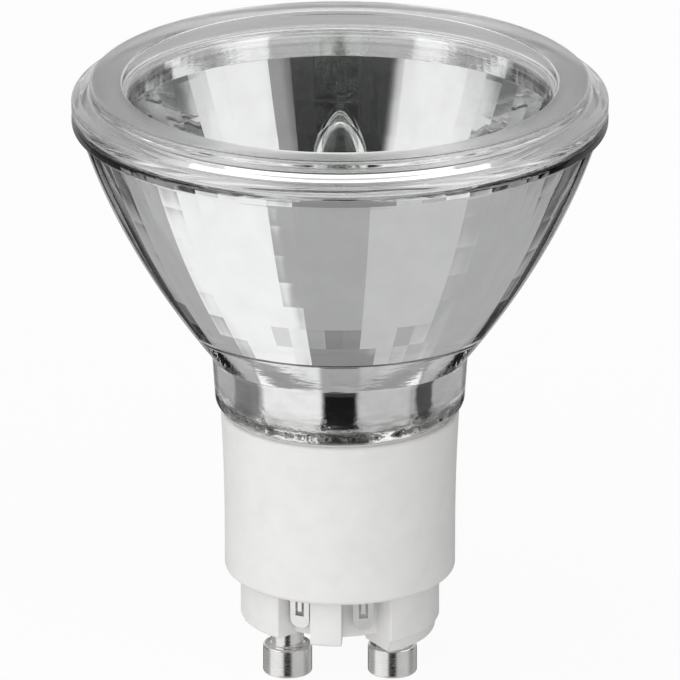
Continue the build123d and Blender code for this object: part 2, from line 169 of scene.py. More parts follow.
class Surface:
    """Vertices, faces, face finishes and sharp edges of a piece, gathered from grids."""

    def __init__(self):
        self.points = np.zeros((0, 3))
        self.quads = np.zeros((0, 4), int)
        self.finish = np.zeros(0, int)
        self.sharp = np.zeros(0, bool)
        self.map = np.zeros((0, 4, 2))

    def add(self, grid, loop=False, inward=False, finish=0, crease=None):
        """Add a grid that closes on itself across its columns, and along its rows where loop is set.

        Rows that lie on the axis become one vertex. The shell is turned so that its volume is positive, or
        negative for a hollow, which puts the faces' outer side away from the material.
        """
        rows, columns = grid.shape[:2]
        spread = np.ptp(grid, axis=1).max(axis=1)
        pole = spread < TOUCHING
        number = np.where(pole[:, None], 0, np.arange(columns)[None, :])
        starts = np.cumsum(np.where(pole, 1, columns)) - np.where(pole, 1, columns)
        number = number + starts[:, None]
        kept = ~pole[:, None] | (np.arange(columns)[None, :] == 0)
        points = grid[kept]
        above = np.roll(number, -1, axis=0)
        last = rows if loop else rows - 1
        here, up = number[:last], above[:last]
        beside, across_up = np.roll(here, -1, axis=1), np.roll(up, -1, axis=1)
        quads = np.stack([here, beside, across_up, up], axis=-1).reshape(-1, 4)
        p = points[quads]
        volume = (np.cross(p[:, 0], p[:, 1]) * p[:, 2]).sum() + (np.cross(p[:, 0], p[:, 2]) * p[:, 3]).sum()
        across = (np.arange(columns)[:, None] + np.array([0, 1, 1, 0])) / columns
        along = (np.arange(last)[:, None] + np.array([0, 0, 1, 1])) / last
        place = np.stack(np.broadcast_arrays(across[None], along[:, None]), axis=-1).reshape(-1, 4, 2)
        if (volume < 0) != inward:
            quads = quads[:, ::-1]
            place = place[:, ::-1]
        finish = np.broadcast_to(np.asarray(finish), (last,))
        marks = np.zeros((rows, columns), bool) if crease is None else crease
        self.quads = np.concatenate([self.quads, quads + len(self.points)])
        self.points = np.concatenate([self.points, points])
        self.finish = np.concatenate([self.finish, np.repeat(finish, columns)])
        self.sharp = np.concatenate([self.sharp, marks[kept]])
        self.map = np.concatenate([self.map, place])
        return self

    def piece(self, name, materials, replaces, slot):
        """Make the object, in metres, that rides on the lamp and stands for its solids."""
        same = self.quads == np.roll(self.quads, 1, axis=1)
        sizes = np.where(same.any(axis=1), 3, 4)
        corners = self.quads[~same]
        mesh = bpy.data.meshes.new(name)
        mesh.vertices.add(len(self.points))
        mesh.vertices.foreach_set("co", (self.points * MM).astype(np.float32).ravel())
        mesh.loops.add(len(corners))
        mesh.loops.foreach_set("vertex_index", corners.astype(np.int32))
        mesh.polygons.add(len(sizes))
        mesh.polygons.foreach_set("loop_start", (np.cumsum(sizes) - sizes).astype(np.int32))
        mesh.polygons.foreach_set("material_index", self.finish.astype(np.int32))
        mesh.update(calc_edges=True)
        mesh.shade_smooth()
        if self.sharp.any():
            ends = np.zeros(len(mesh.edges) * 2, np.int32)
            mesh.edges.foreach_get("vertices", ends)
            hard = self.sharp[ends.reshape(-1, 2)].all(axis=1)
            mesh.attributes.new("sharp_edge", "BOOLEAN", "EDGE").data.foreach_set("value", hard)
        layer = mesh.uv_layers.new(name="UVMap")
        layer.data.foreach_set("uv", self.map[~same].astype(np.float32).ravel())
        for material in materials:
            mesh.materials.append(material)
        if mesh.validate():
            raise RuntimeError(f"{name}: the mesh has broken faces")
        made = bpy.data.objects.new(name, mesh)
        bpy.context.scene.collection.objects.link(made)
        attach(made, "root")
        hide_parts(*replaces)


class NodeKit:
    """Adds nodes to a tree. An input is a number to set or another node's output to link."""

    def __init__(self, tree):
        self.tree = tree

    def put(self, socket, value):
        """Set a socket to a number or link an output to it."""
        if isinstance(value, bpy.types.NodeSocket):
            self.tree.links.new(value, socket)
        else:
            socket.default_value = value

    def node(self, kind, settings=None, **inputs):
        """Add a node, set its properties and fill its inputs by name."""
        made = self.tree.nodes.new(kind)
        for name, value in (settings or {}).items():
            setattr(made, name, value)
        for name, value in inputs.items():
            self.put(made.inputs[name.replace("_", " ")], value)
        return made

    def math(self, operation, *values):
        """One step of arithmetic."""
        made = self.node("ShaderNodeMath", {"operation": operation})
        for socket, value in zip(made.inputs, values):
            self.put(socket, value)
        return made.outputs["Value"]

    def climb(self, value, low, high, start=0.0, end=1.0):
        """A smooth step of the value from start at low to end at high."""
        made = self.node("ShaderNodeMapRange", {"interpolation_type": "SMOOTHSTEP"}, Value=value)
        limits = (low, high, start, end)
        for name, limit in zip(("From Min", "From Max", "To Min", "To Max"), limits):
            self.put(made.inputs[name], limit)
        return made.outputs["Result"]

    def blend(self, share, first, second):
        """The mix of two numbers."""
        made = self.node("ShaderNodeMix", {"data_type": "FLOAT"}, Factor=share, A=first, B=second)
        return made.outputs["Result"]


class Finish(NodeKit):
    """A node material: a Principled shader with a few procedural textures on Object coordinates."""

    def __init__(self, name, **sockets):
        self.material = bpy.data.materials.new(name)
        self.material.use_nodes = True
        super().__init__(self.material.node_tree)
        self.shader = self.tree.nodes["Principled BSDF"]
        for socket, value in sockets.items():
            title = socket.replace("_", " ").title().replace("Ior", "IOR")
            self.shader.inputs[title].default_value = value
        self.coordinates = self.tree.nodes.new("ShaderNodeTexCoord").outputs["Object"]

    def mapped(self, stretch):
        """Object coordinates, in millimetres, squeezed or stretched along each axis."""
        scale = tuple(s / MM for s in stretch)
        return self.node("ShaderNodeMapping", Vector=self.coordinates, Scale=scale).outputs["Vector"]

    def noise(self, size, stretch=(1, 1, 1), detail=3.0):
        """Noise whose features are about the given size in millimetres."""
        place = self.mapped(stretch)
        made = self.node("ShaderNodeTexNoise", Vector=place, Scale=1 / size, Detail=detail)
        return made.outputs["Fac"]

    def spread(self, value, low, high):
        """The middle range of a noise carried to low and high."""
        made = self.node("ShaderNodeMapRange", Value=value)
        limits = (*NOISE_RANGE, low, high)
        for name, limit in zip(("From Min", "From Max", "To Min", "To Max"), limits):
            self.put(made.inputs[name], limit)
        return made.outputs["Result"]

    def tones(self, value, *colours):
        """A ramp of colours, evenly placed."""
        made = self.node("ShaderNodeValToRGB", Fac=value)
        ramp = made.color_ramp
        for place, colour in zip(np.linspace(*RAMP_ENDS, len(colours)), colours):
            stop = ramp.elements.new(place)
            stop.color = (*colour, 1)
        ramp.elements.remove(ramp.elements[0])
        ramp.elements.remove(ramp.elements[-1])
        return made.outputs["Color"]

    def merge(self, share, first, second):
        """The mix of two colours, which the node takes at its sockets 6 and 7 and gives at 2."""
        made = self.node("ShaderNodeMix", {"data_type": "RGBA"}, Factor=share)
        self.put(made.inputs[6], first)
        self.put(made.inputs[7], second)
        return made.outputs[2]

    def bump(self, height, distance, strength=1.0, under=None):
        """Bump of the given depth in millimetres, over another bump where one is given."""
        made = self.node("ShaderNodeBump", Height=height, Distance=distance * MM, Strength=strength)
        if under is not None:
            self.tree.links.new(under, made.inputs["Normal"])
        return made.outputs["Normal"]

    def feed(self, **sockets):
        """Link outputs to the shader's sockets and give back the material."""
        for socket, output in sockets.items():
            self.tree.links.new(output, self.shader.inputs[socket.replace("_", " ").title()])
        return self.material


def clear_glass(name, tint, ripple, ripple_depth, haze=(0.0, 0.02), ior=1.48):
    """Pressed clear glass: faint ripples from the mould and a haze between two levels.

    A lower index of refraction stands for a coat that takes away glare.
    """
    look = Finish(name, transmission_weight=1.0, ior=ior)
    haze = look.spread(look.noise(4.0), *haze)
    wave = look.noise(ripple, detail=1.0)
    colour = look.tones(look.noise(9.0, detail=1.0), tint, tuple(min(1.0, c + 0.01) for c in tint))
    return look.feed(base_color=colour, roughness=haze, normal=look.bump(wave, ripple_depth))


def facet_mirror(name, colour, columns, first, pitch):
    """Vapour coat on the facets: bright, with soft cloudiness, shallow ripples and painted dark reflections
    on some facets of one row.

    A facet's column and row are the whole parts of its place on the piece's map, counted in facets from the
    first row on. In the second row from the throat a fixed chance by column and row gives some facets a
    painted dark reflection: a darker coat colour standing in for facets that mirror dark surroundings.
    """
    look = Finish(name, metallic=1.0)
    dim = tuple(c * 0.95 for c in colour)
    cloud = look.tones(look.noise(3.0), dim, colour)
    place = look.node("ShaderNodeSeparateXYZ", Vector=look.node("ShaderNodeUVMap").outputs["UV"]).outputs
    column = look.math("FLOOR", look.math("MULTIPLY", place["X"], float(columns)))
    row = look.math("FLOOR", look.math("DIVIDE", look.math("SUBTRACT", place["Y"], first), pitch))
    cell = look.node("ShaderNodeCombineXYZ", X=column, Y=row).outputs["Vector"]
    chance = look.node("ShaderNodeTexWhiteNoise", Vector=cell).outputs["Value"]
    # Painted dark reflections: chance facets of the second row get a darker coat colour in place of reflected
    # shade.
    painted_dark_facets = look.math("MULTIPLY", look.climb(chance, 0.55, 1.0), look.math("COMPARE", row, 1.0, 0.5))
    coat = look.merge(painted_dark_facets, cloud, (*(c * 0.6 for c in colour), 1))
    haze = look.spread(look.noise(1.5), 0.0, 0.02)
    wave = look.noise(2.5, stretch=(1, 1, 0.35), detail=1.0)
    return look.feed(base_color=coat, roughness=haze, normal=look.bump(wave, 0.004))


def neck_mirror(name, colour, foot_z):
    """The coat inside the neck: bright above, wrinkled and darker in streaks towards the foot."""
    look = Finish(name, metallic=1.0)
    dim = tuple(c * 0.9 for c in colour)
    height = look.node("ShaderNodeSeparateXYZ", Vector=look.coordinates).outputs["Z"]
    low_z, high_z = foot_z + 0.8, foot_z + 3.0
    foot = look.climb(height, low_z * MM, high_z * MM, 1.0, 0.06)
    wrinkle = look.noise(0.9, stretch=(0.6, 0.6, 1.7), detail=3.0)
    coat = look.tones(look.noise(1.6), dim, colour)
    # Towards the foot the coat's colour falls to dark greys in streaks.
    streak = look.noise(1.1, stretch=(0.5, 0.5, 2.0), detail=4.0)
    darker_tone = look.tones(streak, (0.30, 0.30, 0.30), (0.62, 0.61, 0.60), colour)
    return look.feed(
        base_color=look.merge(foot, coat, darker_tone),
        roughness=look.climb(foot, 0.0, 1.0, 0.03, 0.12),
        normal=look.bump(wrinkle, 0.12, foot),
    )


def steatite(name, colour):
    """Unglazed pressed ceramic: off-white, faintly mottled, with a fine grain."""
    look = Finish(name)
    grain = look.noise(0.12, detail=4.0)
    mottle = look.noise(2.2, detail=3.0)
    pale = tuple(min(1.0, c * 1.02) for c in colour)
    dull = tuple(c * 0.97 for c in colour)
    skin = look.bump(grain, 0.008, under=look.bump(mottle, 0.003))
    return look.feed(
        base_color=look.tones(mottle, dull, colour, pale),
        roughness=look.spread(grain, 0.5, 0.68),
        normal=skin,
    )


def plated(name, colour, low, high, turning=(1, 1, 12)):
    """Bright plated metal with fine turning marks across Z."""
    look = Finish(name, metallic=1.0)
    marks = look.noise(0.6, stretch=turning, detail=2.0)
    darker_tone = look.noise(1.3)
    dull = tuple(c * 0.9 for c in colour)
    return look.feed(
        base_color=look.tones(darker_tone, dull, colour),
        roughness=look.spread(marks, low, high),
        normal=look.bump(marks, 0.004),
    )


def grainy(name, colour, size, rough=(0.5, 0.75)):
    """Matte granular stuff such as cement, bond, frit or sintered alumina."""
    look = Finish(name)
    grain = look.noise(size, detail=4.0)
    dull = tuple(c * 0.88 for c in colour)
    return look.feed(
        base_color=look.tones(grain, dull, colour),
        roughness=look.spread(grain, *rough),
        normal=look.bump(grain, size / 10),
    )


class ReflectorSettings(bpy.types.PropertyGroup):
    """Sizes of the pressed glass reflector."""

    facet_columns: bpy.props.IntProperty(
        name="Facet columns", description="Facets round the mirror", default=60, min=12
    )
    facet_rows: bpy.props.IntProperty(
        name="Facet rows", description="Facets from throat to mouth", default=7, min=2
    )
    facet_tilt: bpy.props.FloatProperty(
        name="Facet unevenness",
        description="How far a facet's corner strays at the throat",
        default=0.04 * MM,
        unit="LENGTH",
        precision=6,
    )
    facet_fullness: bpy.props.FloatProperty(
        name="Facet fullness", description="From flat facets to a smooth bowl", default=0.65, subtype="FACTOR"
    )
    throat_radius: bpy.props.FloatProperty(
        name="Throat radius", description="Mirror at the throat", default=12.78 * MM, unit="LENGTH"
    )
    mouth_radius: bpy.props.FloatProperty(
        name="Mouth radius", description="Mirror at the mouth", default=22.5 * MM, unit="LENGTH"
    )
    mirror_colour: bpy.props.FloatVectorProperty(
        name="Mirror colour",
        description="Colour of the vapour coat",
        default=(0.90, 0.90, 0.905),
        subtype="COLOR",
    )
    glass_tint: bpy.props.FloatVectorProperty(
        name="Glass tint",
        description="Colour of the pressed glass",
        default=(0.97, 0.975, 0.97),
        subtype="COLOR",
    )


class StudioSettings(bpy.types.PropertyGroup):
    """Camera, floor and light."""

    elevation: bpy.props.FloatProperty(
        name="Elevation", description="Camera above the horizon", default=np.radians(20.3), subtype="ANGLE"
    )
    distance: bpy.props.FloatProperty(
        name="Distance", description="Camera to the lamp's axis", default=0.95, unit="LENGTH"
    )
    aim_height: bpy.props.FloatProperty(
        name="Aim height", description="Height the camera looks at", default=33.63 * MM, unit="LENGTH"
    )
    focal_length: bpy.props.FloatProperty(
        name="Focal length", description="Lens on a 36 mm sensor", default=532.6, unit="CAMERA"
    )
    floor_colour: bpy.props.FloatVectorProperty(
        name="Floor colour", description="Plain pale floor", default=(0.95, 0.95, 0.95), subtype="COLOR"
    )
    floor_whiteness: bpy.props.FloatProperty(
        name="Floor whiteness",
        description="Share of plain white in the floor as the camera sees it",
        default=0.93,
        subtype="FACTOR",
    )
    walls: bpy.props.FloatProperty(
        name="Walls", description="Tone of the studio's walls", default=0.45, subtype="FACTOR"
    )
    card_softness: bpy.props.FloatProperty(
        name="Card softness",
        description="Width of the cards' soft edges",
        default=np.radians(6),
        subtype="ANGLE",
    )
    light_low: bpy.props.FloatProperty(name="Fill", description="Light from the far side", default=0.26)
    light_high: bpy.props.FloatProperty(name="Key", description="Light from the near left", default=1.53)


class LAMP_OT_reflector(bpy.types.Operator):
    """Pressed glass bowl with a mirrored, faceted inside"""

    bl_idname = "lamp.reflector"
    bl_label = "Reflector"

    def execute(self, context):
        look = context.scene.lamp_reflector
        throat_r, mouth_r = look.throat_radius / MM, look.mouth_radius / MM
        throat_z = mouth_z - MIRROR_DEPTH
        columns, rows = look.facet_columns, look.facet_rows
        angles = even_angles(columns * FACET_SPLIT, FACET_START)
        outer = self.outside()
        bore = self.bore(throat_r, throat_z)
        stray, fullness = look.facet_tilt / MM, look.facet_fullness
        facets = self.facets(throat_r, mouth_r, throat_z, columns, rows, stray, fullness)
        grid = np.concatenate([turned(outer, angles), turned(bore, angles), facets])
        first = len(outer) + len(bore)
        finish = np.zeros(len(grid), int)  # 0 for glass, 1 for the facets, 2 for the bore
        finish[first - 1 : -1] = 1
        finish[len(outer) : first - 1] = 2
        crease = np.zeros(grid.shape[:2], bool)
        crease[first:, ::FACET_SPLIT] = True
        crease[first::FACET_SPLIT] = True
        tint, coat = tuple(look.glass_tint), tuple(look.mirror_colour)
        glass = clear_glass("Reflector glass", tint, 6.0, 0.01)
        first_place, row_pitch = first / len(grid), FACET_SPLIT / len(grid)
        mirror = facet_mirror("Reflector mirror", coat, columns, first_place, row_pitch)
        neck = neck_mirror("Neck mirror", coat, neck_z)
        shell = Surface().add(grid, loop=True, finish=finish, crease=crease)
        shell.piece("reflector_bowl", [glass, mirror, neck], ["reflector"], "reflector_glass")
        return {"FINISHED"}

    def outside(self):
        """Profile from mouth to bore: flange, bowl (radius a parabola in height), crease, neck and foot."""
        flange_z = mouth_z - 1.0
        crease_z = neck_z + CREASE_HEIGHT
        land_r, top_r, mid_r, low_r, foot_r = rim_r - 2.6, 24.46, 19.66, 12.10, 11.75
        height = np.linspace(flange_z, crease_z, 48)
        t = (height - crease_z) / (flange_z - crease_z)
        radius = low_r * (1 - t) * (1 - 2 * t) + mid_r * 4 * t * (1 - t) + top_r * t * (2 * t - 1)
        bowl = np.stack([radius, height], axis=1)[3:-3]
        flange = rounded(
            [(land_r, mouth_z), (rim_r, mouth_z), (rim_r, flange_z), (top_r, flange_z), bowl[0]],
            [0.3, 0.3, 0.35],
        )
        neck = rounded(
            [
                bowl[-1],
                (low_r, crease_z),
                (foot_r, neck_z),
                (BORE_RADIUS, neck_z),
                (BORE_RADIUS, neck_z + 0.3),
            ],
            [0.8, 1.3, 0.2],
            steps=9,
        )
        return np.concatenate([flange[:-1], bowl, refined(neck, 0.5)[1:-1]])

    def bore(self, throat_r, throat_z):
        """Profile up the neck's bore, flaring from the crease on, and out along the throat to the mirror."""
        profile = rounded(
            [
                (BORE_RADIUS, neck_z + 0.35),
                (BORE_RADIUS, neck_z + CREASE_HEIGHT),
                (BORE_RADIUS + BORE_FLARE, throat_z),
                (throat_r - 0.05, throat_z),
            ],
            [3.0, 0.3],
        )
        return refined(profile, 0.6)

    def facets(self, throat_r, mouth_r, throat_z, columns, rows, stray, fullness):
        """Facets between rings of evenly stepped radius on a paraboloid.

        Its height is that of the throat plus (r^2 - throat r^2) / latus rectum. Each corner strays along the
        radius, less and less towards the mouth. Points inside a facet are the even mix of its corners, moved
        out towards the paraboloid by the share given as fullness.
        """
        ring = np.linspace(throat_r, mouth_r, rows + 1)[:, None]
        corner_angle = even_angles(columns, FACET_START)[None, :]
        number = np.arange(columns)[None, :]
        row = np.arange(rows + 1)[:, None]
        radius = np.broadcast_to(ring, (rows + 1, columns))
        height = throat_z + (radius**2 - throat_r**2) / MIRROR_LATUS_RECTUM
        corner = np.stack([radius * np.cos(corner_angle), radius * np.sin(corner_angle), height], axis=-1)
        strayed = 1 + stray * STRAY_FALL**row * speckle(row, number) * (row > 0) / radius
        share = np.arange(FACET_SPLIT) / FACET_SPLIT
        t, s = share[None, None, :, None], share[None, :, None, None]

        def mixed(corners):
            """The even mix of each facet's four corners, a row of points at a time."""
            across = corners[:, :, None] * (1 - t) + np.roll(corners, -1, axis=1)[:, :, None] * t
            across = across.reshape(rows + 1, columns * FACET_SPLIT, -1)
            along = across[:-1, None] * (1 - s) + across[1:, None] * s
            along = along.reshape(rows * FACET_SPLIT, columns * FACET_SPLIT, -1)
            return np.concatenate([along, across[-1:]])

        flat = mixed(corner)
        flat_r = np.hypot(flat[..., 0], flat[..., 1])
        full_r = np.sqrt(throat_r**2 + (flat[..., 2] - throat_z) * MIRROR_LATUS_RECTUM)
        swell = (1 + fullness * (full_r / flat_r - 1)) * mixed(strayed[..., None])[..., 0]
        return flat * np.stack([swell, swell, np.ones_like(swell)], axis=-1)


class LAMP_OT_mouth_ring(bpy.types.Operator):
    """Bright ring with an L section: under the front glass and down inside the mouth"""

    bl_idname = "lamp.mouth_ring"
    bl_label = "Mouth ring"

    def execute(self, context):
        foil = plated("Ring foil", (0.94, 0.94, 0.94), 0.04, 0.10, turning=(1, 1, 3))
        inner_r, outer_r, thick = 21.0, rim_r - 0.55, 0.1
        low_z, seat_z, top_z = mouth_z - 2.9, mouth_z + 0.02, mouth_z + thick
        section = rounded(
            [
                (inner_r + thick, low_z + 0.5),
                (inner_r + thick, low_z),
                (inner_r, low_z),
                (inner_r, top_z),
                (outer_r, top_z),
                (outer_r, seat_z),
                (inner_r + thick, seat_z),
                (inner_r + thick, low_z + 0.6),
            ],
            [0.03, 0.03, 0.04, 0.03, 0.03, 0.04],
            steps=4,
        )
        section = refined(section, 0.6)
        grid = turned(section, even_angles(RIM_COLUMNS))
        Surface().add(grid, loop=True).piece("mouth_ring", [foil], ["front_seal"], "seal_metal")
        return {"FINISHED"}


class LAMP_OT_front_glass(bpy.types.Operator):
    """Pressed front glass: stepped rim, crowned bead and recessed window"""

    bl_idname = "lamp.front_glass"
    bl_label = "Front glass"

    def execute(self, context):
        plug_r, bead_r, window_r = 20.6, rim_r - 4.6, rim_r - 5.0
        seat_z, window_z = mouth_z + 0.12, window_low_z + 2.0
        edge_z = seat_z + 1.4
        profile = rounded(
            [
                (0, window_low_z),
                (plug_r, window_low_z),
                (plug_r, seat_z),
                (rim_r, seat_z),
                (rim_r, edge_z),
                (rim_r - 0.8, edge_z + 0.35),
                (rim_r - 1.7, edge_z + 0.525),
                (rim_r - 1.7, crown_z),
                (rim_r - 3.05, crown_z),
                (rim_r - 4.75, crown_z - 0.1),
                (window_r, window_z),
                (0, window_z),
            ],
            [0.2, 0.2, 0.45, 0.45, 0.25, 0.3, 0.4, 0.5, 0.3, 0.4],
            steps=8,
        )
        profile = refined(profile, 0.8)
        on_bead = (profile[:, 1] > crown_z - 0.15) & (profile[:, 0] > bead_r)
        on_window = (profile[:, 0] < window_r) & (profile[:, 1] < window_z + 0.05)
        tint = tuple(context.scene.lamp_reflector.glass_tint)
        ripple, depth = 7.0, 0.006
        glass = clear_glass("Front glass", tint, ripple, depth)
        bead = clear_glass("Front glass bead", tint, ripple, depth, haze=(0.34, 0.44))
        window = clear_glass("Front glass window", tint, ripple, depth, ior=1.3)
        grid = turned(profile, even_angles(RIM_COLUMNS))
        lens = Surface().add(grid, finish=(on_bead + 2 * on_window)[:-1])
        lens.piece("front_lens", [glass, bead, window], ["front_glass"], "front_glass")
        return {"FINISHED"}


class LAMP_OT_ceramic_base(bpy.types.Operator):
    """Flared ceramic cup over a keyed skirt with legs, keys and pockets"""

    bl_idname = "lamp.ceramic_base"
    bl_label = "Ceramic base"

    def execute(self, context):
        ceramic = steatite("Base ceramic", (0.80, 0.795, 0.78))
        Surface().add(self.grid()).piece("base_body", [ceramic], ["ceramic_base"], "base_ceramic")
        return {"FINISHED"}

    def window(self, angles, start, sweep, edge):
        """1 inside the arc and 0 outside it, with soft edges, in degrees, also half a turn on."""
        inside = np.zeros_like(angles)
        for turn in (0, 180):
            middle = start + turn + sweep / 2
            away = np.abs((angles - middle + 180) % 360 - 180)
            inside = np.maximum(inside, 1 - smooth_step((sweep - edge) / 2, (sweep + edge) / 2, away))
        return inside

    def grid(self):
        """Rows from the middle of the underside, out over the skirt, up the body and down into the cup.

        On the skirt the outer radius is that of the core, plus the pockets' depth where a leg or a key
        stands. The underside drops by the step's height where a step stands.
        """
        edge = 1.8
        arcs = np.array([LEG_ARC, KEY_ARC, STEP_ARC], float)
        borders = np.concatenate([arcs[:, 0], arcs.sum(axis=1)])
        borders = np.concatenate([borders, borders + 180])
        fine = (borders[:, None] + np.linspace(-2.4, 2.4, 17)[None, :]).ravel() % 360
        angles = np.unique(np.round(np.concatenate([np.arange(0, 360, 1.5), fine]), 3))
        flare_reach, flare_height, root = 0.35, 12.0, 0.25
        body_z, skirt_z = base_top_z - 16.05, step_z + 1.17
        core_r, skirt_r, body_r = 7.0, 9.45, base_top_r - flare_reach
        cup_r, cup_z = 8.58, base_top_z - 14.15
        stands = np.maximum(
            self.window(angles, *LEG_ARC, edge), self.window(angles, *KEY_ARC, edge)
        )
        skirt = core_r + (skirt_r - core_r) * stands
        step = self.window(angles, *STEP_ARC, edge)
        radians = np.radians(angles)

        soft = (0.35 - 0.25 * step)[None, :]
        bands = ((0, 0.46, 6), (0.47, 0.56, 8), (0.6, 0.93, 8), (0.94, 0.998, 12))
        share = np.concatenate([np.linspace(*band) for band in bands])
        under_r = share[:, None] * (skirt[None, :] - soft)
        drop = smooth_step(4.4, 4.8, under_r) * (1 - smooth_step(9.0, 9.25, under_r)) * step
        under_z = skirt_z - (skirt_z - step_z) * drop
        turn = np.linspace(0, np.pi / 2, 7)[:, None]
        foot_r = skirt[None, :] - soft * (1 - np.sin(turn))
        foot_z = skirt_z + soft * (1 - np.cos(turn))
        wall = np.linspace(0.05, 0.93, 8)[:, None]
        wall_z = skirt_z + soft + wall * (body_z - skirt_z - soft)
        wall_r = skirt[None, :] + 0 * wall_z
        turn = np.linspace(0, np.pi / 2, 6)[:, None]
        root_r = skirt[None, :] + root * (1 - stands[None, :]) * (1 - np.cos(turn))
        root_z = body_z - root * (1 - np.sin(turn)) + 0 * root_r
        edge_r = body_r - 0.65
        reach = np.array([0.25, 0.5, 0.75])[:, None]
        shelf_r = root_r[-1:] + reach * (edge_r - root_r[-1:])
        shelf_z = body_z + 0 * shelf_r
        flare_z = base_top_z - flare_height
        climb = np.linspace(0, 1, 24)
        flare = np.stack([body_r + flare_reach * climb**2, flare_z + flare_height * climb], axis=1)
        body = rounded([(edge_r, body_z), (body_r, body_z), (body_r, flare_z)], [0.5], steps=8)
        brim = rounded(
            [flare[-2], flare[-1], (cup_r, base_top_z), (cup_r, cup_z), (0, cup_z)], [0.45, 0.2, 1.0]
        )
        outer = np.concatenate([body, flare[1:-2], brim[1:]])
        round_rows = turned(refined(outer, 0.9), radians)
        radius = np.concatenate([under_r, foot_r, wall_r, root_r, shelf_r])
        height = np.concatenate([under_z, foot_z, wall_z, root_z, shelf_z])
        keyed = np.stack([radius * np.cos(radians), radius * np.sin(radians), height], axis=-1)
        return np.concatenate([keyed, round_rows])


class LAMP_OT_contact_pins(bpy.types.Operator):
    """Two nickel plated twist-lock pins with wide heads"""

    bl_idname = "lamp.contact_pins"
    bl_label = "Contact pins"

    def execute(self, context):
        nickel = plated("Pin nickel", (0.86, 0.855, 0.84), 0.16, 0.28)
        shank_r, head_z = 1.55, 2.9
        profile = rounded(
            [
                (0, 0.06),
                (pin_r * 0.55, 0),
                (pin_r, 0),
                (pin_r, head_z),
                (shank_r, head_z),
                (shank_r, pin_top_z),
                (0, pin_top_z),
            ],
            [0.3, 0.25, 0.25, 0.12, 0.1],
        )
        grid = turned(refined(profile, 0.6), even_angles(PIN_COLUMNS))
        for side, name in ((-1, "left_contact_pin"), (1, "right_contact_pin")):
            placed = grid + np.array([side * pin_x, 0, 0])
            Surface().add(placed).piece(name.replace("contact_pin", "pin"), [nickel], [name], "nickel")
        return {"FINISHED"}


class LAMP_OT_quartz_bulb(bpy.types.Operator):
    """Clear quartz bulb with a pointed nose, a hollow and a flat pinch"""

    bl_idname = "lamp.quartz_bulb"
    bl_label = "Quartz bulb"

    def execute(self, context):
        quartz = clear_glass("Bulb quartz", (0.95, 0.97, 0.955), 3.0, 0.004)
        surface = Surface().add(self.outside()).add(self.hollow(), inward=True)
        surface.piece("burner_bulb", [quartz], ["quartz_bulb"], "quartz")
        return {"FINISHED"}

    def nose(self, radius, low, high, count):
        """A cubic curve that leaves the side upright and meets the axis flat."""
        t = np.linspace(0, 1, count)[:, None]
        shoulder = np.array([radius, low + 0.43 * (high - low)])
        tip = np.array([radius * 0.44, high])
        start, end = np.array([radius, low]), np.array([0.0, high])
        ends = start * (1 - t) ** 3 + end * t**3
        return ends + 3 * shoulder * t * (1 - t) ** 2 + 3 * tip * t**2 * (1 - t)

    def outside(self):
        """Rows of superellipses, |x/a|^p + |y/b|^p = 1: flat and square in the pinch, round in the tube."""
        angles = even_angles(BULB_COLUMNS)
        pinch_top, nose_z, tip_z = pinch_z + 9.0, bulb_tip_z - 6.0, bulb_tip_z + 0.8
        z = np.concatenate(
            [
                pinch_z + np.array([0, 0, 0.05, 0.25, 0.7]),
                np.linspace(pinch_z + 1.5, pinch_top - 0.3, 6),
                np.linspace(pinch_top, pinch_top + 2.4, 10),
                np.linspace(pinch_top + 3.2, nose_z - 0.2, 12),
            ]
        )
        close = np.ones_like(z)
        close[:5] = [0.0, 0.8, 0.93, 0.98, 1.0]
        blend = smooth_step(pinch_top - 0.2, pinch_top + 2.2, z)
        pinch_depth, square, circle = 1.2, 5.0, 2.0
        a = (pinch_half * (1 - blend) + bulb_r * blend) * close
        b = (pinch_depth * (1 - blend) + bulb_r * blend) * close
        power = (square * (1 - blend) + circle * blend)[:, None]
        c, s = np.cos(angles)[None, :], np.sin(angles)[None, :]
        x = a[:, None] * np.sign(c) * np.abs(c) ** (2 / power)
        y = b[:, None] * np.sign(s) * np.abs(s) ** (2 / power)
        foot = np.stack([x, y, np.broadcast_to(z[:, None], x.shape)], axis=-1)
        return np.concatenate([foot, turned(self.nose(bulb_r, nose_z, tip_z, 28), angles)])

    def hollow(self):
        """Turned: a round foot, a straight bore and the same nose inside."""
        bore_r = bulb_r - 0.6
        low_z, nose_z, tip_z = pinch_z + 10.6, bulb_tip_z - 6.0, bulb_tip_z - 0.9
        foot = rounded([(0, low_z), (bore_r, low_z), (bore_r, nose_z)], [1.2], steps=10)
        nose = self.nose(bore_r, nose_z, tip_z, 24)
        return turned(np.concatenate([refined(foot, 1.0), nose[1:]]), even_angles(BULB_COLUMNS))


